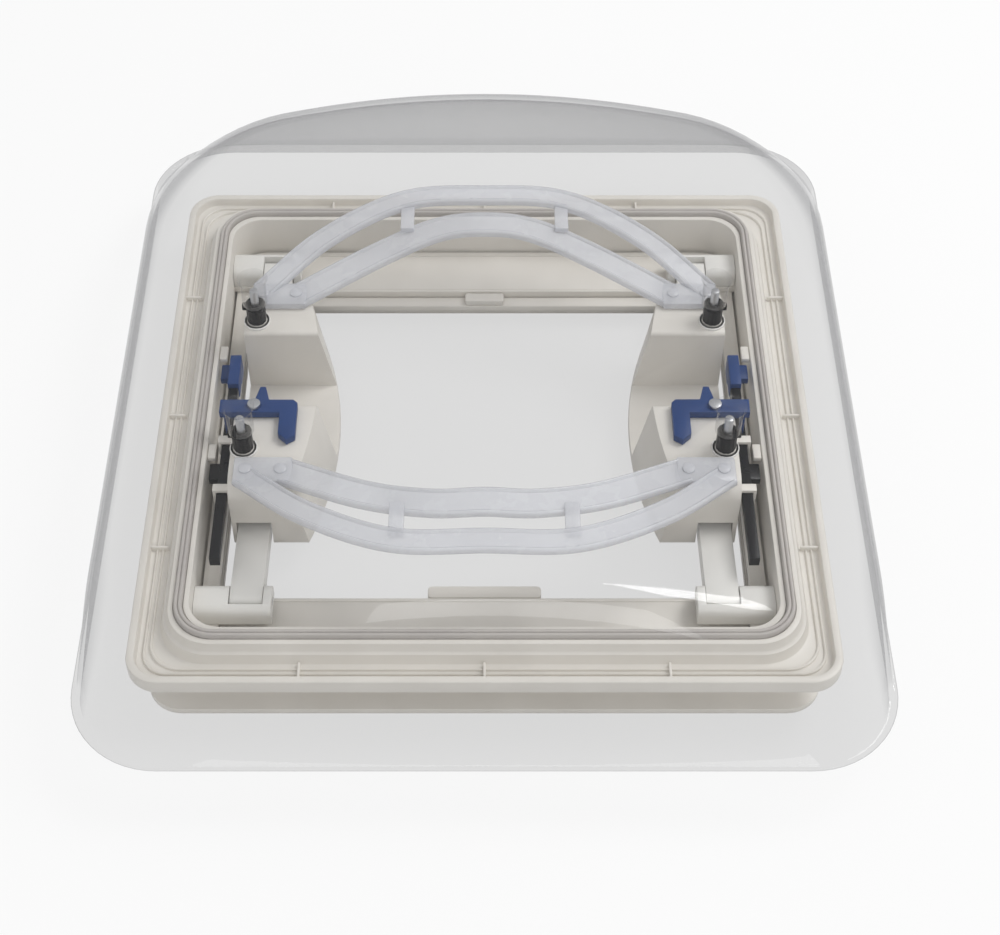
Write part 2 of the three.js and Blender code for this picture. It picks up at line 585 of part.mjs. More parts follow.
// ---------- hoop handles ----------
const PAD_LOW = EAR_HIGH + GAP;
const PAD_EDGE = 8;                          // pad beyond its pegs
const PEG_Y = EAR_Y - 13;
const PEG_OUT = EAR_OUT - 12;
const PEGS = [PEG_OUT, PEG_OUT - PEG_SPAN];
const PAD_Y = [PEG_Y - 11, PEG_Y + 11];
const BOW_STEPS = 20;
const BOW_EDGE = 1.5;

function hoopPegs(extra) {
  return PEGS.map((x) => rod('z', PEG_D + extra, EAR_HIGH - EAR_WALL - 1, EAR_HIGH + 1, -x, -PEG_Y, 12))
    .reduce((all, peg) => all.add(peg));
}

// Flat bar with chamfered edges along a curve in the rear half of the plan.
function bow(half, width) {
  const points = [...half, ...half.slice(0, -1).reverse().map(([x, y, z]) => [-x, y, z])];
  const curve = new THREE.CatmullRomCurve3(points.map(([x, y, z]) => new THREE.Vector3(x, y, z)));
  const rings = curve.getSpacedPoints(BOW_STEPS).map((point, i) => {
    const along = curve.getTangentAt(i / BOW_STEPS);
    const side = new THREE.Vector3(-along.y, along.x, 0).normalize();
    const a = width / 2;
    const b = HOOP_T / 2;
    const corner = [[a - BOW_EDGE, -b], [a, -b + BOW_EDGE], [a, b - BOW_EDGE], [a - BOW_EDGE, b]];
    const section = [...corner, ...corner.map(([u, v]) => [-u, -v])];
    return section.map(([u, v]) => [point.x + side.x * u, point.y + side.y * u, point.z + v]);
  });
  return loft(rings);
}

function hoop() {
  const endZ = PAD_LOW + HOOP_T / 2;
  const midZ = ROOF + HOOP_CENTRE_Z;
  const rise = midZ - endZ;
  const wide = PEG_OUT + 2;
  const narrow = PEG_OUT - PEG_SPAN - 2;
  const outer = bow([[-wide, PEG_Y + 4, endZ], [-0.72 * wide, PEG_Y + 47, endZ + 0.52 * rise],
    [-0.37 * wide, PEG_Y + 77, midZ - 3], [0, PEG_Y + 80, midZ]], HOOP_OUTER_W);
  const inner = bow([[-narrow, PEG_Y, endZ], [-0.59 * narrow, PEG_Y + 30, endZ + 0.44 * rise],
    [-0.26 * narrow, PEG_Y + 46, midZ - 4], [0, PEG_Y + 48, midZ]], HOOP_INNER_W);
  let body = outer.add(inner);
  const webX = 0.42 * narrow;
  SIDES.forEach(([, right]) => {
    const pad = box(-PEGS[0] - PAD_EDGE, -PEGS[1] + PAD_EDGE, PAD_Y[0], PAD_Y[1], PAD_LOW, PAD_LOW + HOOP_T)
      .add(PEGS.map((x) => rod('z', PEG_D, EAR_HIGH - EAR_WALL, PAD_LOW + 1, -x, PEG_Y, 12))
        .reduce((all, peg) => all.add(peg)));
    const web = box(-webX - HOOP_WEB / 2, -webX + HOOP_WEB / 2, PEG_Y + 44, PEG_Y + 76, midZ - 6, midZ - 2);
    body = body.add(mirrored(pad.add(web), right, false));
  });
  return body;
}

SIDES.forEach(([side, right]) => put(`side_bracket_${side}`, 'ivory', ear(), right));
put('rear_hoop_handle', 'frosted', hoop());
put('front_hoop_handle', 'frosted', hoop(), false, true);

// ---------- dome with its four posts ----------
const RING_SIDE = 8;                         // parts of a dome ring's long straight side

function ringPlan(a, b, radius) {
  const points = [];
  const corner = 5;
  [[1, 1], [-1, 1], [-1, -1], [1, -1]].forEach(([sx, sy], k) => {
    for (let i = 0; i <= corner; i += 1) {
      const t = (Math.PI / 2) * (k + i / corner);
      points.push([(a - radius) * sx + radius * Math.cos(t), (b - radius) * sy + radius * Math.sin(t)]);
    }
    const [x, y] = points[points.length - 1];
    const next = k % 2 === 0 ? [-x, y] : [x, -y];
    const parts = k % 2 === 0 ? RING_SIDE : 2;
    for (let i = 1; i < parts; i += 1) {
      points.push([x + (next[0] - x) * i / parts, y + (next[1] - y) * i / parts]);
    }
  });
  return points;
}

function domeBody(inset) {
  const a = DOME_X / 2 - inset;
  const b = DOME_Y / 2 - inset;
  const roofAt = (x) => RIM + DOME_H - inset - DOME_ARCH_R + Math.sqrt(DOME_ARCH_R ** 2 - x ** 2);
  const low = inset > 0 ? RIM - 1 : RIM;
  const rim = ringPlan(a, b, DOME_R - inset);
  const top = ringPlan(a - DOME_LEAN_X, b - DOME_LEAN_Y, DOME_SHOULDER_R - inset);
  const between = (p, q, t) => p.map((value, i) => value + (q[i] - value) * t);
  const foot = rim.map(([x, y]) => [x, y, low]);
  const shoulder = top.map(([x, y]) => [x, y, roofAt(x)]);
  const inward = ringPlan(a - DOME_LEAN_X - DOME_FILLET_X, b - DOME_LEAN_Y - DOME_FILLET_Y,
    DOME_SHOULDER_R - DOME_FILLET_Y - inset).map(([x, y]) => [x, y, roofAt(x)]);
  const start = foot.map((p, i) => between(p, shoulder[i], DOME_ROUND));
  const rings = [0, 0.5].map((t) => foot.map((p, i) => between(p, start[i], t)));
  for (let k = 0; k <= 6; k += 1) {
    const t = k / 6;
    const rising = start.map((p, i) => between(p, shoulder[i], t));
    const turning = shoulder.map((p, i) => between(p, inward[i], t));
    rings.push(rising.map((p, i) => between(p, turning[i], t)));
  }
  [0.8, 0.6, 0.4, 0.2, 0.05].forEach((scale) => {
    rings.push(inward.map(([x, y]) => [x * scale, y * scale, roofAt(x * scale)]));
  });
  return loft(rings);
}

function dome() {
  const cavity = domeBody(DOME_WALL);
  let body = domeBody(0).subtract(cavity);
  [-1, 1].forEach((x) => [-1, 1].forEach((y) => {
    const post = rod('z', POST_D, POST_LOW, RIM + DOME_H, x * PIN_X, y * PIN_Y).intersect(domeBody(0))
      .subtract(rod('z', BOLT_D + 2 * GAP, POST_LOW - 1, POST_LOW + 13, x * PIN_X, y * PIN_Y, 12));
    body = body.add(post);
  }));
  return body;
}

put('dome', 'clear', dome());

const BOLT_HEAD_D = 11;
const BOLT_HEAD_H = 4;

function spacer() {
  return rod('z', SPACER_D, SPACER_LOW, SPACER_LOW + SPACER_H, -PIN_X, -PIN_Y, 18)
    .add(box(-PIN_X - SPACER_D / 2 - 2.5, -PIN_X, -PIN_Y - 2, -PIN_Y + 2,
      SPACER_LOW + SPACER_H - 6, SPACER_LOW + SPACER_H - 1))
    .subtract(rod('z', BOLT_D + 2 * GAP, SPACER_LOW - 1, SPACER_LOW + SPACER_H + 1, -PIN_X, -PIN_Y, 12));
}

function domeBolt() {
  const under = EAR_HIGH - EAR_WALL - GAP;
  return rod('z', BOLT_HEAD_D, under - BOLT_HEAD_H, under, -PIN_X, -PIN_Y, 6)
    .add(rod('z', BOLT_D, under - 1, POST_LOW + 12, -PIN_X, -PIN_Y, 12));
}

eachCorner((name, right, rear) => {
  put(`post_spacer_${name}`, 'black', spacer(), right, rear);
  put(`dome_bolt_${name}`, 'steel', domeBolt(), right, rear);
});

// ---------- locks ----------
const CATCH_LOW = EAR_HIGH + 2 * GAP;
const FINGER_D = 4;
const NOSE_Z = KEEPER_LOW - RUN;             // top of the noses
const NOSE_H = 5.5;
const NOSE_OUT = THROAT_IN / 2 - 2;
const CATCH_ARM = 18;                        // from the screw to the arm's inboard side
const FINGER_W = 4;

function catchBody() {
  const x = -CATCH_PIVOT_X;
  const y = CATCH_PIVOT_Y;
  const half = CATCH_W / 2;
  const tail = -ROD_X - ROD_W / 2;
  const arm = x + CATCH_ARM;
  const tip = arm + CATCH_W;
  const reach = y - half - 19;
  const plan = new THREE.Shape();
  plan.moveTo(tail, y - half);
  plan.lineTo(arm, y - half);
  plan.lineTo(arm, reach);
  plan.lineTo(arm + half, reach - half);
  plan.lineTo(tip, reach - 2);
  plan.lineTo(tip, y + half - 3);
  plan.lineTo(tip - 3, y + half);
  plan.lineTo(x + 10, y + half);
  plan.lineTo(x + 7, y + 3 * half);
  plan.lineTo(x + 7 - FINGER_W, y + 3 * half);
  plan.lineTo(x, y + half);
  plan.lineTo(tail, y + half);
  return prism(plan, CATCH_LOW, CATCH_LOW + CATCH_T)
    .add(rod('z', FINGER_D, ROD_Z_LOW + 2, CATCH_LOW + 1, -ROD_X, CATCH_PIVOT_Y, 12))
    .subtract(rod('z', CATCH_SCREW_D + 2 * GAP, CATCH_LOW - 1, CATCH_LOW + CATCH_T + 1,
      -CATCH_PIVOT_X, CATCH_PIVOT_Y, 12));
}

function catchScrew() {
  const top = CATCH_LOW + CATCH_T + GAP;
  return rod('z', CATCH_SCREW_D, EAR_HIGH - EAR_WALL - 2, top + 1, -CATCH_PIVOT_X, CATCH_PIVOT_Y, 12)
    .add(rod('z', 9, top, top + 2.5, -CATCH_PIVOT_X, CATCH_PIVOT_Y, 20));
}

function nose([y0, y1], inner) {
  return box(-NOSE_OUT, -inner, y0, y1, NOSE_Z - NOSE_H, NOSE_Z);
}

function lockRod() {
  const out = ROD_X + ROD_W / 2;
  return box(-out, -out + ROD_W, ROD_FRONT, ROD_REAR, ROD_Z_LOW, ROD_Z_LOW + ROD_H)
    .add(nose(FRONT_NOSE, out - 1))
    .add(box(-out, -out + ROD_W, FRONT_NOSE[0], FRONT_NOSE[1], NOSE_Z - NOSE_H, ROD_Z_LOW + 1))
    .subtract(box(-ROD_X - FINGER_D / 2 - GAP, -out + ROD_W + 1, CATCH_PIVOT_Y - FINGER_D / 2 - GAP,
      CATCH_PIVOT_Y + FINGER_D / 2 + GAP, ROD_Z_LOW - 1, ROD_Z_LOW + ROD_H + 1));
}

function lockHead() {
  const out = ROD_X + ROD_W / 2 + 0.5;
  return box(-out, -out + ROD_W + 1, ROD_REAR + GAP, HEAD_END, ROD_Z_LOW - 2, ROD_Z_LOW + ROD_H + 4)
    .add(nose(REAR_NOSE, out - 1))
    .add(box(-out, -out + ROD_W + 1, REAR_NOSE[0], HEAD_END, NOSE_Z - NOSE_H, ROD_Z_LOW));
}

SIDES.forEach(([side, right]) => {
  put(`lock_catch_${side}`, 'blue', catchBody(), right);
  put(`lock_catch_screw_${side}`, 'steel', catchScrew(), right);
  put(`lock_rod_${side}`, 'black', lockRod(), right);
  put(`lock_head_${side}`, 'blue', lockHead(), right);
});

export default rooflight;
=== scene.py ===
"""Pop-up caravan rooflight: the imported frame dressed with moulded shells, clear dome and materials."""
import json
import math

import bmesh
import bpy
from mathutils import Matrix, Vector


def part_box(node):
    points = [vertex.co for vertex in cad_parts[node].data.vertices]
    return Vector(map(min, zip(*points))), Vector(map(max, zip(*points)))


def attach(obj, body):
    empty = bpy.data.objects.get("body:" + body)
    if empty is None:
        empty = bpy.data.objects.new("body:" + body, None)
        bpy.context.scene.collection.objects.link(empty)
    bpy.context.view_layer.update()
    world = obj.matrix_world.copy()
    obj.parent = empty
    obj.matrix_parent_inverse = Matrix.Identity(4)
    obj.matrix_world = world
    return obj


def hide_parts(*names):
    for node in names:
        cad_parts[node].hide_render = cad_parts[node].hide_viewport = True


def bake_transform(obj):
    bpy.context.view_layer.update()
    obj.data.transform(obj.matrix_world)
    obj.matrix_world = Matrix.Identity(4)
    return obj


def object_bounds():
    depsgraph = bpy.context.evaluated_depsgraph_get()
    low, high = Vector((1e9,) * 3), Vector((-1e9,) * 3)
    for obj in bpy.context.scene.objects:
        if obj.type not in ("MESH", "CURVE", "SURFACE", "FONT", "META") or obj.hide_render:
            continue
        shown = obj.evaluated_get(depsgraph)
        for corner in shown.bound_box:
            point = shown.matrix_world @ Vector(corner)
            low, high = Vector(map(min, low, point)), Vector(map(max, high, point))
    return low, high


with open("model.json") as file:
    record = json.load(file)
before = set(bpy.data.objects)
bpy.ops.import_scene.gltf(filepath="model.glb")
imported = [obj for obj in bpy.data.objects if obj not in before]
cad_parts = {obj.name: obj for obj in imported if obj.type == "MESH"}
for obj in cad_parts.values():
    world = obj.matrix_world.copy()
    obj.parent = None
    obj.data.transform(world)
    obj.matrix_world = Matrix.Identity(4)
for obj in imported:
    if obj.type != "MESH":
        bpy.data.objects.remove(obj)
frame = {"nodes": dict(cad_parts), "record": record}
cad_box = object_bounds()
bodies = frame["record"]["behaviour"]["bodies"]
body_of = {node: body for body, nodes in bodies.items() for node in nodes}
slot_of = {row["node"]: row["material_slot"] for row in frame["record"]["subparts"]}
CORNERS = [f"{end}_{side}" for end in ("front", "rear") for side in ("left", "right")]
MM = 0.001


# ---------- node-tree helpers ----------
def new_material(name):
    material = bpy.data.materials.new(name)
    material.use_nodes = True
    nodes = material.node_tree.nodes
    nodes.clear()
    output = nodes.new("ShaderNodeOutputMaterial")
    return material, nodes, material.node_tree.links, output


def noise(nodes, links, scale, detail=4.0, roughness=0.55, stretch=(1, 1, 1)):
    """Noise over the object's own coordinates, so it stays on the piece as it moves."""
    place = nodes.new("ShaderNodeTexCoord")
    mapping = nodes.new("ShaderNodeMapping")
    mapping.inputs["Scale"].default_value = stretch
    texture = nodes.new("ShaderNodeTexNoise")
    texture.inputs["Scale"].default_value = scale
    texture.inputs["Detail"].default_value = detail
    texture.inputs["Roughness"].default_value = roughness
    links.new(place.outputs["Object"], mapping.inputs["Vector"])
    links.new(mapping.outputs["Vector"], texture.inputs["Vector"])
    return texture.outputs["Fac"]


def ranged(nodes, links, value, low, high):
    """The value, which runs 0.3 to 0.7, spread from low to high."""
    node = nodes.new("ShaderNodeMapRange")
    node.inputs["From Min"].default_value = 0.3
    node.inputs["From Max"].default_value = 0.7
    node.inputs["To Min"].default_value = low
    node.inputs["To Max"].default_value = high
    links.new(value, node.inputs["Value"])
    return node.outputs["Result"]


def mixed_colour(nodes, links, factor, first, second):
    ramp = nodes.new("ShaderNodeValToRGB")
    ramp.color_ramp.elements[0].position = 0.3
    ramp.color_ramp.elements[1].position = 0.7
    ramp.color_ramp.elements[0].color = (*first, 1)
    ramp.color_ramp.elements[1].color = (*second, 1)
    links.new(factor, ramp.inputs["Fac"])
    return ramp.outputs["Color"]


def bumped(nodes, links, height, strength, distance):
    bump = nodes.new("ShaderNodeBump")
    bump.inputs["Strength"].default_value = strength
    bump.inputs["Distance"].default_value = distance
    links.new(height, bump.inputs["Height"])
    return bump.outputs["Normal"]


def plastic(name, colour, shade, rough, grain=2600, bump=0.12, coat=0.0, alpha=1.0, specular=0.5):
    """Moulded plastic: fine spark-eroded grain, slow colour drift, roughness that wanders a little."""
    material, nodes, links, output = new_material(name)
    shader = nodes.new("ShaderNodeBsdfPrincipled")
    drift = noise(nodes, links, 22, 3)
    links.new(mixed_colour(nodes, links, drift, colour, shade), shader.inputs["Base Color"])
    links.new(ranged(nodes, links, noise(nodes, links, 60), rough[0], rough[1]), shader.inputs["Roughness"])
    links.new(bumped(nodes, links, noise(nodes, links, grain, 2), bump, 0.0002), shader.inputs["Normal"])
    shader.inputs["IOR"].default_value = 1.49
    shader.inputs["Specular IOR Level"].default_value = specular
    shader.inputs["Coat Weight"].default_value = coat
    shader.inputs["Alpha"].default_value = alpha
    links.new(shader.outputs["BSDF"], output.inputs["Surface"])
    return material


def metal(name, colour, rough, stretch=(1, 1, 1)):
    material, nodes, links, output = new_material(name)
    shader = nodes.new("ShaderNodeBsdfPrincipled")
    shader.inputs["Metallic"].default_value = 1.0
    brushed = noise(nodes, links, 900, 3, 0.6, stretch)
    links.new(mixed_colour(nodes, links, brushed, colour, [c * 0.82 for c in colour]),
              shader.inputs["Base Color"])
    links.new(ranged(nodes, links, brushed, rough[0], rough[1]), shader.inputs["Roughness"])
    links.new(bumped(nodes, links, brushed, 0.1, 0.0001), shader.inputs["Normal"])
    links.new(shader.outputs["BSDF"], output.inputs["Surface"])
    return material


def cloth(name, colour, shade, threads):
    """Woven cloth: two crossed wave patterns as bump and colour."""
    material, nodes, links, output = new_material(name)
    shader = nodes.new("ShaderNodeBsdfPrincipled")
    shader.inputs["Roughness"].default_value = 0.85
    shader.inputs["Sheen Weight"].default_value = 0.3
    place = nodes.new("ShaderNodeTexCoord")
    waves = []
    for direction in ("X", "Y"):
        wave = nodes.new("ShaderNodeTexWave")
        wave.bands_direction = direction
        wave.inputs["Scale"].default_value = threads
        wave.inputs["Distortion"].default_value = 0.4
        links.new(place.outputs["Object"], wave.inputs["Vector"])
        waves.append(wave.outputs["Fac"])
    weave = nodes.new("ShaderNodeMath")
    weave.operation = "MULTIPLY"
    links.new(waves[0], weave.inputs[0])
    links.new(waves[1], weave.inputs[1])
    links.new(mixed_colour(nodes, links, weave.outputs[0], shade, colour), shader.inputs["Base Color"])
    links.new(bumped(nodes, links, weave.outputs[0], 0.5, 0.0002), shader.inputs["Normal"])
    links.new(shader.outputs["BSDF"], output.inputs["Surface"])
    return material


def clear_acrylic(name, tint, edge_tint, rough, shine):
    """Clear sheet: a grey tint and a gloss that both grow at grazing angles."""
    material, nodes, links, output = new_material(name)
    ripple = bumped(nodes, links, noise(nodes, links, 9, 2), 0.08, 0.002)
    facing = nodes.new("ShaderNodeLayerWeight")
    facing.inputs["Blend"].default_value = 0.5
    links.new(ripple, facing.inputs["Normal"])
    ramp = nodes.new("ShaderNodeValToRGB")
    ramp.color_ramp.elements[0].color = (*tint, 1)
    ramp.color_ramp.elements[0].position = 0.45
    ramp.color_ramp.elements[1].color = (*edge_tint, 1)
    ramp.color_ramp.elements[1].position = 1.0
    links.new(facing.outputs["Facing"], ramp.inputs["Fac"])
    through = nodes.new("ShaderNodeBsdfTransparent")
    links.new(ramp.outputs["Color"], through.inputs["Color"])
    gloss = nodes.new("ShaderNodeBsdfGlossy")
    gloss.inputs["Color"].default_value = (1, 1, 1, 1)
    links.new(ranged(nodes, links, noise(nodes, links, 40), rough[0], rough[1]), gloss.inputs["Roughness"])
    links.new(ripple, gloss.inputs["Normal"])
    grazing = nodes.new("ShaderNodeMath")
    grazing.operation = "POWER"
    grazing.inputs[1].default_value = 5.0
    links.new(facing.outputs["Facing"], grazing.inputs[0])
    fresnel = nodes.new("ShaderNodeMapRange")
    fresnel.inputs["To Min"].default_value = shine
    fresnel.inputs["To Max"].default_value = 0.7
    links.new(grazing.outputs[0], fresnel.inputs["Value"])
    mix = nodes.new("ShaderNodeMixShader")
    links.new(fresnel.outputs["Result"], mix.inputs["Fac"])
    links.new(through.outputs["BSDF"], mix.inputs[1])
    links.new(gloss.outputs["BSDF"], mix.inputs[2])
    links.new(mix.outputs["Shader"], output.inputs["Surface"])
    return material


look = {
    "ivory_plastic": plastic("ivory_plastic", (0.80, 0.77, 0.72), (0.74, 0.71, 0.66), (0.34, 0.5)),
    "white_plastic": plastic("white_plastic", (0.84, 0.83, 0.80), (0.79, 0.78, 0.75), (0.3, 0.45)),
    "clear_acrylic": clear_acrylic("clear_acrylic", (0.875, 0.875, 0.875), (0.52, 0.52, 0.53),
                                   (0.02, 0.05), 0.015),
    "clear_post": clear_acrylic("clear_post", (0.98, 0.98, 0.98), (0.75, 0.75, 0.76), (0.05, 0.1), 0.02),
    "frosted_plastic": plastic("frosted_plastic", (0.82, 0.83, 0.87), (0.77, 0.78, 0.82), (0.2, 0.32),
                               900, 0.05, 0.3, 0.6),
    "black_plastic": plastic("black_plastic", (0.004, 0.004, 0.006), (0.007, 0.007, 0.009), (0.25, 0.4),
                             specular=0.25),
    "blue_plastic": plastic("blue_plastic", (0.012, 0.045, 0.17), (0.016, 0.055, 0.2), (0.3, 0.42),
                            specular=0.3),
    "grey_rubber": plastic("grey_rubber", (0.56, 0.53, 0.5), (0.5, 0.47, 0.45), (0.6, 0.8), 1800, 0.3),
    "zinc_steel": metal("zinc_steel", (0.62, 0.63, 0.65), (0.25, 0.4)),
    "roller_aluminium": metal("roller_aluminium", (0.75, 0.76, 0.77), (0.3, 0.45), (0.05, 1, 1)),
    "screen_cloth": cloth("screen_cloth", (0.05, 0.05, 0.055), (0.015, 0.015, 0.016), 450),
    "blind_cloth": cloth("blind_cloth", (0.72, 0.71, 0.69), (0.6, 0.59, 0.57), 300),
}


# ---------- mesh helpers ----------
def shade(mesh, angle=32):
    mesh.polygons.foreach_set("use_smooth", [True] * len(mesh.polygons))
    mesh.set_sharp_from_angle(angle=math.radians(angle))


def add_piece(name, mesh, body, slot, replaced=(), finish=None):
    piece = bpy.data.objects.new(name, mesh)
    bpy.context.scene.collection.objects.link(piece)
    mesh.materials.clear()
    mesh.materials.append(look[finish or slot])
    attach(piece, body)
    if replaced:
        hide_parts(*replaced)
    return piece


def mesh_of(bm, name, angle=32):
    mesh = bpy.data.meshes.new(name)
    bmesh.ops.recalc_face_normals(bm, faces=bm.faces)
    bm.normal_update()
    bm.to_mesh(mesh)
    bm.free()
    shade(mesh, angle)
    return mesh


def round_edges(bm, width, segments=2, angle=28):
    """Flat facets joined into whole faces, then every sharp edge rounded."""
    bmesh.ops.dissolve_limit(bm, angle_limit=math.radians(1.0), verts=bm.verts, edges=bm.edges)
    sharp = [e for e in bm.edges if len(e.link_faces) == 2 and e.calc_face_angle(0) > math.radians(angle)]
    bmesh.ops.bevel(bm, geom=sharp, offset=width, segments=segments, profile=0.5,
                    affect="EDGES", clamp_overlap=True)


def moulded(node, width=0.6, segments=2):
    """A CAD node's shape with rounded, moulded edges, which stands for that node."""
    source = frame["nodes"][node]
    bm = bmesh.new()
    bm.from_mesh(source.data)
    bm.transform(source.matrix_world)
    bmesh.ops.remove_doubles(bm, verts=bm.verts, dist=1e-6)
    round_edges(bm, width * MM, segments)
    return add_piece(f"{node}_shell", mesh_of(bm, f"{node}_shell"), body_of[node], slot_of[node], (node,))


def loft(bm, rings, closed_profile=False):
    """Faces between rings of points; each ring closes on itself."""
    rows = [[bm.verts.new(p) for p in ring] for ring in rings]
    pairs = list(zip(rows, rows[1:]))
    if closed_profile:
        pairs.append((rows[-1], rows[0]))
    for low, high in pairs:
        for i in range(len(low)):
            j = (i + 1) % len(low)
            bm.faces.new((low[i], low[j], high[j], high[i]))
    return rows


def ring_plan(a, b, radius, corner=14, along_x=22, along_y=10):
    """Rounded rectangle with the same number of points whatever its size."""
    points = []
    for k, (sx, sy) in enumerate(((1, 1), (-1, 1), (-1, -1), (1, -1))):
        for i in range(corner + 1):
            t = math.pi / 2 * (k + i / corner)
            points.append(((a - radius) * sx + radius * math.cos(t),
                           (b - radius) * sy + radius * math.sin(t)))
        x, y = points[-1]
        nx, ny = (-x, y) if k % 2 == 0 else (x, -y)
        parts = along_x if k % 2 == 0 else along_y
        for i in range(1, parts):
            points.append((x + (nx - x) * i / parts, y + (ny - y) * i / parts))
    return points


def block(bm, low, high, edge=0.5):
    """Box between two corners, in millimetres, with rounded edges."""
    part = bmesh.new()
    bmesh.ops.create_cube(part, size=1)
    size = [h - l for l, h in zip(low, high)]
    for vert in part.verts:
        vert.co = [((v + 0.5) * s + l) * MM for v, s, l in zip(vert.co, size, low)]
    bmesh.ops.bevel(part, geom=part.edges[:], offset=edge * MM, segments=2, profile=0.5, affect="EDGES")
    merge(bm, part)


def turned(bm, centre, profile, sides=40, flutes=0, depth=0.0):
    """Turned piece about the vertical through centre; profile is (radius, height) in millimetres."""
    part = bmesh.new()
    rings = []
    for radius, height in profile:
        ring = []
        for i in range(sides):
            t = 2 * math.pi * i / sides
            r = radius - (depth if flutes and math.cos(flutes * t) > 0.4 else 0)
            ring.append(Vector(((centre[0] + r * math.cos(t)) * MM, (centre[1] + r * math.sin(t)) * MM,
                                height * MM)))
        rings.append(ring)
    rows = loft(part, rings)
    part.faces.new(rows[0])
    part.faces.new(rows[-1])
    bmesh.ops.recalc_face_normals(part, faces=part.faces)
    merge(bm, part)


def merge(bm, part):
    mesh = bpy.data.meshes.new("part")
    part.to_mesh(mesh)
    part.free()
    bm.from_mesh(mesh)
    bpy.data.meshes.remove(mesh)


def box_mm(node):
    low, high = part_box(node)
    return [v * 1000 for v in low], [v * 1000 for v in high]


# ---------- roof frame ----------
UPSTAND_H = 20
SEAL_SET_IN = 10
frame_low, frame_high = box_mm("outer_frame")
seal_low, seal_high = box_mm("upstand_seal")
flange = frame_high[0]
roof = frame_high[2] - UPSTAND_H
seal_out = seal_high[0]
throat = seal_out - SEAL_SET_IN
top = frame_high[2]


def frame_profile():
    """(distance from the middle, height, corner radius) round the moulded frame's section."""
    up = throat + 14
    lip = flange - 6
    inside = [(0, frame_low[2], 22), (0, top - 1.2, 22), (0.4, top - 0.3, 22.3), (1.2, top, 22.6)]
    section = [(throat + u, z, r) for u, z, r in inside]
    section += [(seal_out - 6.5, top, 23), (seal_out - 6.3, top - 1.5, 23.2),
                (seal_out + 0.2, top - 1.5, 28), (seal_out + 0.5, top, 28)]
    section += [(up - 1.4, top, 29), (up - 0.4, top - 0.4, 29.6), (up, top - 1.3, 30),
                (up + 1.3, roof + 14, 30.6), (up + 1.9, roof + 13.2, 30.9), (up + 3.4, roof + 12.6, 31.6),
                (up + 3.8, roof + 11.6, 31.8), (up + 5.2, roof + 6.6, 32.6), (up + 5.9, roof + 5.5, 32.9),
                (up + 7.2, roof + 5.0, 32.6)]
    for rib in (9.4, 13.2):
        section += [(up + rib, roof + 5, 31 - rib), (up + rib + 0.3, roof + 6.6, 31 - rib),
                    (up + rib + 0.8, roof + 7, 31 - rib), (up + rib + 1.4, roof + 6.6, 31 - rib),
                    (up + rib + 1.7, roof + 5, 31 - rib)]
    section += [(lip - 1.4, roof + 5.1, 17.4), (lip - 0.4, roof + 5.8, 17.2), (lip, roof + 7, 17.2),
                (lip + 0.3, top - 9.3, 17.4), (lip + 0.9, top - 8.3, 17.8), (lip + 1.8, top - 8, 18.4),
                (flange - 1.6, top - 8, 20.8), (flange - 0.5, top - 8.5, 21.6), (flange, top - 9.6, 22),
                (flange, roof + 0.9, 22), (flange - 0.3, roof + 0.2, 21.8), (flange - 1, roof, 21.4)]
    section += [(throat + 4.6, roof, 26.3), (throat + 4, roof - 0.7, 26),
                (throat + 4, frame_low[2] + 0.5, 26),
                (throat + 3.4, frame_low[2], 25.7), (throat + 0.5, frame_low[2], 22.2)]
    return section


def outer_frame():
    bm = bmesh.new()
    rings = []
    for reach, height, radius in frame_profile():
        ring = ring_plan(reach, reach, radius, 12, 20, 20)
        rings.append([Vector((x * MM, y * MM, height * MM)) for x, y in ring])
    loft(bm, rings, True)
    bracket_low, bracket_high = box_mm("hinge_bracket_rear_right")
    for sx in (1, -1):
        for sy in (1, -1):
            xs = sorted((sx * (bracket_high[0] - 16), sx * (throat + 1)))
            ys = sorted((sy * (bracket_low[1] - 1), sy * (bracket_high[1] + 3)))
            block(bm, (xs[0], ys[0], bracket_low[2] - 5.3), (xs[1], ys[1], bracket_low[2] - 0.3))
        # ribs that stiffen the flange's channel at the corners and the middle
        for y in (-120, 0, 120):
            xs = sorted((sx * (throat + 20.5), sx * (flange - 5.5)))
            block(bm, (xs[0], y - 0.8, roof + 4.5), (xs[1], y + 0.8, roof + 9), 0.3)
            block(bm, (y - 0.8, xs[0], roof + 4.5), (y + 0.8, xs[1], roof + 9), 0.3)
    mesh = mesh_of(bm, "outer_frame_shell", 36)
    add_piece("outer_frame_shell", mesh, "root", "ivory_plastic", ("outer_frame",))


def seal():
    """Hollow-bead gasket: two round beads with a groove between, on a flat foot."""
    low, high = seal_low[2], seal_high[2]
    section = [(0, low), (0, low + 1.8)]
    for centre in (1.6, 4.4):
        for k in range(7):
            t = math.pi * (1 - k / 6)
            section.append((centre + 1.35 * math.cos(t), high - 1.5 + 1.5 * math.sin(t)))
    section += [(6, low + 1.8), (6, low)]
    bm = bmesh.new()
    inner = seal_out - 6
    rings = []
    for u, z in section:
        ring = ring_plan(inner + u, inner + u, 22 + u, 12, 20, 20)
        rings.append([Vector((x * MM, y * MM, z * MM)) for x, y in ring])
    loft(bm, rings, True)
    add_piece("seal_bead", mesh_of(bm, "seal_bead", 50), "root", "grey_rubber", ("upstand_seal",))


outer_frame()
seal()


# ---------- dome ----------
DOME_RIM_R = 58
DOME_SHOULDER_R = 110
DOME_ARCH_R = 570
DOME_LEAN = (4, 48)
DOME_REACH = (14, 20)
DOME_ROUND = 0.45
DOME_WALL = 3
dome_low, dome_high = box_mm("dome")


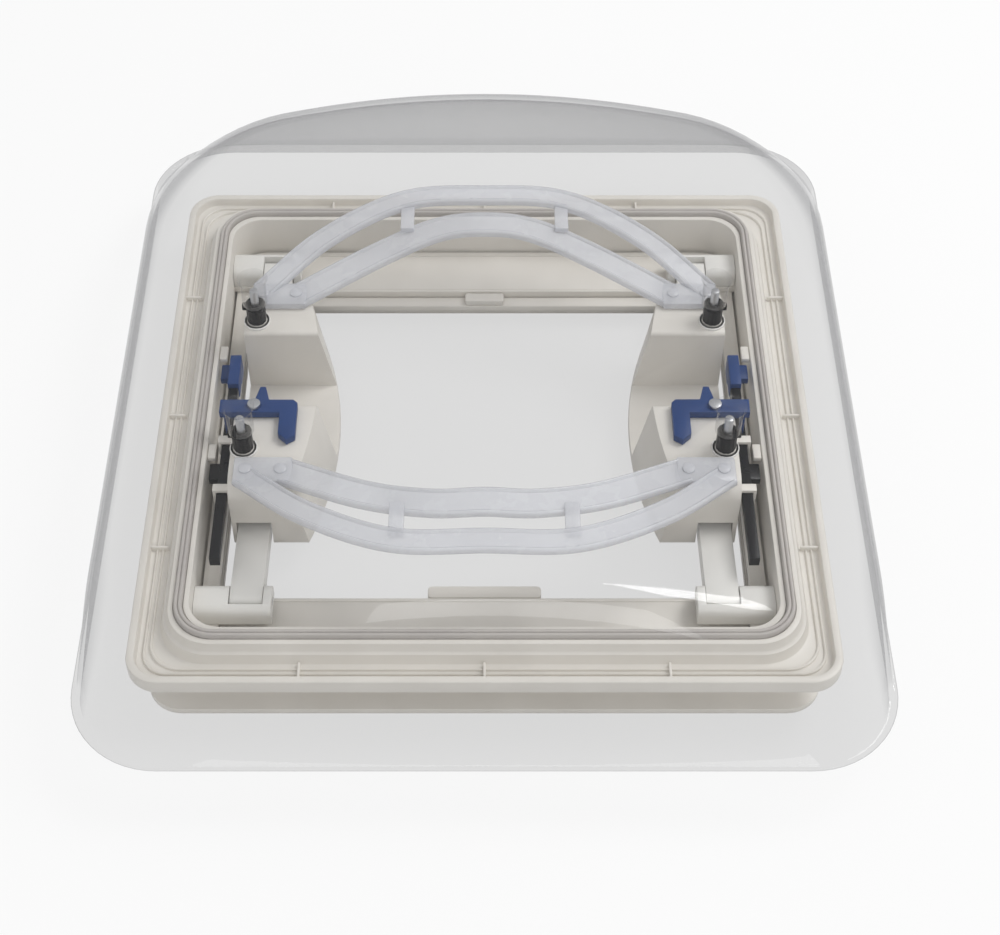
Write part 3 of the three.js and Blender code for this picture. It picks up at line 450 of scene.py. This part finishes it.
def dome_rings(inset):
    a = dome_high[0] - inset
    b = dome_high[1] - inset
    height = dome_high[2] - inset
    rim = dome_low[2]

    def roof_at(x):
        return height - DOME_ARCH_R + math.sqrt(DOME_ARCH_R ** 2 - x ** 2)

    top_plan = ring_plan(a - DOME_LEAN[0], b - DOME_LEAN[1], DOME_SHOULDER_R - inset)
    in_plan = ring_plan(a - DOME_LEAN[0] - DOME_REACH[0], b - DOME_LEAN[1] - DOME_REACH[1],
                        DOME_SHOULDER_R - DOME_REACH[1] - inset)
    foot = [Vector((x, y, rim)) for x, y in ring_plan(a, b, DOME_RIM_R - inset)]
    shoulder = [Vector((x, y, roof_at(x))) for x, y in top_plan]
    inward = [Vector((x, y, roof_at(x))) for x, y in in_plan]
    start = [p.lerp(q, DOME_ROUND) for p, q in zip(foot, shoulder)]
    rings = [[p.lerp(q, t) for p, q in zip(foot, start)] for t in (0, 0.03, 0.25, 0.5, 0.75)]
    for k in range(15):
        t = k / 14
        rings.append([p.lerp(q, t).lerp(q.lerp(r, t), t) for p, q, r in zip(start, shoulder, inward)])
    for scale in (0.94, 0.86, 0.76, 0.65, 0.54, 0.43, 0.32, 0.21, 0.11, 0.03):
        rings.append([Vector((p.x * scale, p.y * scale, roof_at(p.x * scale))) for p in inward])
    return [[p * MM for p in ring] for ring in rings]


def dome_shell():
    """Drawn acrylic shell with a polished rim that turns out in a small bead."""
    bm = bmesh.new()
    outer = dome_rings(0)
    inner = dome_rings(DOME_WALL)
    a, b = dome_high[0], dome_high[1]
    rim = dome_low[2]
    bead = []
    for out, up in ((0.9, 5.2), (2.0, 4.2), (2.4, 2.6), (2.0, 1.0), (0.9, 0.1), (-1.5, 0.0)):
        ring = ring_plan(a + out, b + out, DOME_RIM_R + out)
        bead.append([Vector((x, y, rim + up)) * MM for x, y in ring])
    outer_rows = loft(bm, list(reversed(bead)) + outer[2:])
    inner_rows = loft(bm, inner)
    for i in range(len(inner_rows[0])):
        j = (i + 1) % len(inner_rows[0])
        bm.faces.new((outer_rows[0][j], outer_rows[0][i], inner_rows[0][i], inner_rows[0][j]))
    bm.faces.new(outer_rows[-1])
    bm.faces.new(list(reversed(inner_rows[-1])))
    return bm


def dome_post(corner):
    """Clear boss under the dome's roof, with a fillet where it runs into the shell."""
    high = box_mm(f"post_spacer_{corner}")[1]
    bolt_low, bolt_high = box_mm(f"dome_bolt_{corner}")
    x = (bolt_low[0] + bolt_high[0]) / 2
    y = (bolt_low[1] + bolt_high[1]) / 2
    roof_z = dome_high[2] - DOME_WALL - DOME_ARCH_R + math.sqrt(DOME_ARCH_R ** 2 - x ** 2)
    bm = bmesh.new()
    base = high[2] + 0.3
    turned(bm, (x, y), [(3.3, base), (8.4, base), (9, base + 0.6), (9, roof_z - 5), (9.6, roof_z - 3),
                        (11.2, roof_z - 1.6)])
    mesh = mesh_of(bm, f"dome_post_{corner}", 50)
    add_piece(f"dome_post_{corner}", mesh, "lid", "clear_acrylic", (), "clear_post")


add_piece("dome_shell", mesh_of(dome_shell(), "dome_shell", 60), "lid", "clear_acrylic", ("dome",))
for corner in CORNERS:
    dome_post(corner)


# ---------- hoop handles ----------
def spline(points, count):
    """Catmull-Rom points through the given ones."""
    ends = [points[0] * 2 - points[1], *points, points[-1] * 2 - points[-2]]
    spans = len(points) - 1
    path = []
    for k in range(count + 1):
        at = min(k / count * spans, spans - 1e-6)
        i = int(at)
        t = at - i
        p0, p1, p2, p3 = ends[i:i + 4]
        path.append(0.5 * (2 * p1 + (p2 - p0) * t + (2 * p0 - 5 * p1 + 4 * p2 - p3) * t ** 2
                           + (3 * p1 - p0 - 3 * p2 + p3) * t ** 3))
    return path


def band(bm, half, width, thick):
    """Channel-shaped band: flat web with a rounded bead along each edge."""
    points = [Vector(p) for p in half]
    points += [Vector((-p.x, p.y, p.z)) for p in reversed(points[:-1])]
    path = spline(points, 96)
    a, b = width / 2, thick / 2
    side = [(a - 3.4, b - 1.6), (a - 2.6, b - 0.4), (a - 1.6, b), (a - 0.6, b - 0.4), (a, b - 1.4),
            (a, -b + 1.2), (a - 0.5, -b + 0.3), (a - 1.4, -b)]
    section = side + [(-u, v) for u, v in reversed(side)]
    rings = []
    for i, point in enumerate(path):
        along = path[min(i + 1, len(path) - 1)] - path[max(i - 1, 0)]
        across = Vector((-along.y, along.x, 0)).normalized()
        rings.append([(point + across * u + Vector((0, 0, v))) * MM for u, v in section])
    rows = loft(bm, rings)
    bm.faces.new(rows[0])
    bm.faces.new(rows[-1])


def hoop(end):
    node = f"{end}_hoop_handle"
    high = box_mm(node)[1]
    pad_top = box_mm("side_bracket_left")[1][2] + 0.3 - 2
    peg_y = 84
    bm = bmesh.new()
    end_z = pad_top + 3
    mid_z = high[2] - 3
    rise = mid_z - end_z
    band(bm, [(-164, peg_y + 4, end_z), (-118, peg_y + 47, end_z + 0.52 * rise),
              (-60.7, peg_y + 77, mid_z - 3), (0, peg_y + 80, mid_z)], 18, 6)
    band(bm, [(-136, peg_y, end_z), (-80, peg_y + 30, end_z + 0.44 * rise),
              (-35.4, peg_y + 46, mid_z - 4), (0, peg_y + 48, mid_z)], 22, 6)
    for side in (1, -1):
        xs = sorted((side * 52.1, side * 62.1))
        block(bm, (xs[0], peg_y + 46, mid_z - 6), (xs[1], peg_y + 74, mid_z - 2), 0.8)
        xs = sorted((side * 130, side * 170))
        block(bm, (xs[0], peg_y - 11, pad_top), (xs[1], peg_y + 11, pad_top + 6), 1.6)
        for x in (162, 138):
            turned(bm, (side * x, peg_y), [(2.5, pad_top - 3), (2.5, pad_top + 5), (4.4, pad_top + 5.5),
                                           (4.4, pad_top + 7), (3.6, pad_top + 7.6)], 24)
    if end == "front":
        for vert in bm.verts:
            vert.co.y = -vert.co.y
    mesh = mesh_of(bm, f"{node}_moulding", 40)
    add_piece(f"{node}_moulding", mesh, "lid", "frosted_plastic", (node,))


for end in ("front", "rear"):
    hoop(end)


# ---------- spacers and their bosses ----------
def spacer(corner):
    node = f"post_spacer_{corner}"
    low, high = box_mm(node)
    bolt_low, bolt_high = box_mm(f"dome_bolt_{corner}")
    x = (bolt_low[0] + bolt_high[0]) / 2
    y = (bolt_low[1] + bolt_high[1]) / 2
    side = 1 if x > 0 else -1
    bm = bmesh.new()
    turned(bm, (x, y), [(3.4, low[2]), (6.4, low[2]), (7, low[2] + 0.6), (7, high[2] - 3.4),
                        (6.2, high[2] - 3.0), (6.2, high[2] - 2.4), (7.2, high[2] - 2.0),
                        (7.2, high[2] - 0.7), (6.5, high[2]), (4.6, high[2]), (4.2, high[2] - 0.8),
                        (3.4, high[2] - 0.8)],
           48, 12, 0.35)
    xs = sorted((x + side * 6.4, x + side * 9.5))
    block(bm, (xs[0], y - 2, high[2] - 6), (xs[1], y + 2, high[2] - 1), 0.6)
    mesh = mesh_of(bm, f"{node}_turned", 30)
    add_piece(f"{node}_turned", mesh, "lid", "black_plastic", (node,))
    collar = bmesh.new()
    turned(collar, (x, y), [(9.6, low[2] - 2.3), (9.6, low[2] - 0.9), (9.0, low[2] - 0.3),
                            (7.4, low[2] - 0.3), (7.2, low[2] - 1.6)], 48)
    mesh = mesh_of(collar, f"spacer_collar_{corner}", 30)
    add_piece(f"spacer_collar_{corner}", mesh, "lid", "white_plastic")


for corner in CORNERS:
    spacer(corner)


# ---------- cloth that runs out of its cassette behind each pull bar ----------
def running_cloth(name):
    """Thin cloth from the roll's slot to the bar where the bar stands now; the strip is fixed and does not
    follow the bar.
    """
    bar_low, bar_high = box_mm(f"{name}_pull_bar")
    roll_low, roll_high = box_mm(f"{name}_cloth_roll")
    way = 1 if roll_low[1] > 0 else -1
    bar_edge = (bar_high[1] if way > 0 else -bar_low[1]) - 1.0
    deep = (roll_low[1] if way > 0 else -roll_high[1]) + 0.5
    z = (bar_low[2] + bar_high[2]) / 2
    half = roll_high[0] - 2
    bm = bmesh.new()
    rings = []
    for k in range(25):
        y = way * (bar_edge + (deep - bar_edge) * k / 24)
        ring = [(-half, z - 0.2), (half, z - 0.2), (half, z + 0.2), (-half, z + 0.2)]
        rings.append([Vector((x, y, h)) * MM for x, h in ring])
    rows = loft(bm, rings)
    bm.faces.new(rows[0])
    bm.faces.new(rows[-1])
    mesh = mesh_of(bm, f"{name}_running_cloth")
    slot = "screen_cloth" if name == "flyscreen" else "blind_cloth"
    mesh.materials.append(look[slot])
    piece = bpy.data.objects.new(f"{name}_running_cloth", mesh)
    bpy.context.scene.collection.objects.link(piece)
    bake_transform(piece)


running_cloth("flyscreen")
running_cloth("blind")


# ---------- the rest keeps its CAD shape, with moulded edges ----------
built = ["outer_frame", "upstand_seal", "dome", "front_hoop_handle", "rear_hoop_handle"]
built += [f"post_spacer_{corner}" for corner in CORNERS]
wide = {"side_bracket": 1.6, "lift_lever": 1.2, "hinge_bracket": 1.2, "lock_catch": 0.9, "lock_head": 0.7,
        "pull_bar": 0.8, "grip": 0.9, "ceiling_frame": 0.8, "lock_keeper": 0.7}
for node in slot_of:
    if node not in built:
        width = next((w for word, w in wide.items() if word in node), 0.35)
        if "screw" in node or "spring" in node or "roll" in node or "bolt" in node or "pin" in node:
            width = 0.15
        moulded(node, width)


# ---------- floor, lights, camera ----------
def make_floor():
    material, nodes, links, output = new_material("floor_white")
    shader = nodes.new("ShaderNodeBsdfDiffuse")
    shader.inputs["Color"].default_value = (0.55, 0.55, 0.55, 1)
    glow = nodes.new("ShaderNodeEmission")
    glow.inputs["Strength"].default_value = 1.0
    path = nodes.new("ShaderNodeLightPath")
    share = nodes.new("ShaderNodeMath")
    share.operation = "MULTIPLY"
    share.inputs[1].default_value = 0.82
    seen = path.outputs["Is Camera Ray"]
    for ray in ("Is Transmission Ray", "Is Glossy Ray"):
        either = nodes.new("ShaderNodeMath")
        either.operation = "MAXIMUM"
        links.new(seen, either.inputs[0])
        links.new(path.outputs[ray], either.inputs[1])
        seen = either.outputs[0]
    links.new(seen, share.inputs[0])
    mix = nodes.new("ShaderNodeMixShader")
    links.new(share.outputs[0], mix.inputs["Fac"])
    links.new(shader.outputs["BSDF"], mix.inputs[1])
    links.new(glow.outputs["Emission"], mix.inputs[2])
    links.new(mix.outputs["Shader"], output.inputs["Surface"])
    bm = bmesh.new()
    bmesh.ops.create_grid(bm, x_segments=2, y_segments=2, size=80.0)
    mesh = bpy.data.meshes.new("floor")
    bm.to_mesh(mesh)
    bm.free()
    mesh.materials.append(material)
    floor = bpy.data.objects.new("floor", mesh)
    floor.location.z = cad_box[0][2] - 0.0005
    bpy.context.scene.collection.objects.link(floor)


def make_world():
    """Even white studio light."""
    world = bpy.data.worlds.new("studio")
    bpy.context.scene.world = world
    world.use_nodes = True
    background = world.node_tree.nodes["Background"]
    background.inputs["Color"].default_value = (1, 1, 1, 1)
    background.inputs["Strength"].default_value = 0.92


def area_lamp(name, place, target, size, power):
    data = bpy.data.lights.new(name, "AREA")
    data.shape = "RECTANGLE"
    data.size, data.size_y = size
    data.energy = power
    lamp = bpy.data.objects.new(name, data)
    lamp.location = place
    lamp.rotation_euler = (Vector(target) - Vector(place)).to_track_quat("-Z", "Y").to_euler()
    lamp.visible_camera = False
    bpy.context.scene.collection.objects.link(lamp)


def make_camera():
    data = bpy.data.cameras.new("camera")
    data.sensor_width = 36
    data.lens = 68.94
    data.shift_x = 0.0155
    data.clip_start = 0.05
    camera = bpy.data.objects.new("camera", data)
    camera.location = (0, -0.918, 1.0734)
    camera.rotation_euler = (math.radians(90 - 49.8), 0, 0)
    bpy.context.scene.collection.objects.link(camera)
    bpy.context.scene.camera = camera


make_floor()
make_world()
area_lamp("key", (1.3, 0.5, 2.0), (0, 0, 0.05), (1.0, 1.0), 36)
area_lamp("front", (0.2, -2.2, 1.7), (0, 0, 0.1), (1.6, 1.0), 16)
make_camera()
bpy.context.scene.view_settings.view_transform = "Standard"
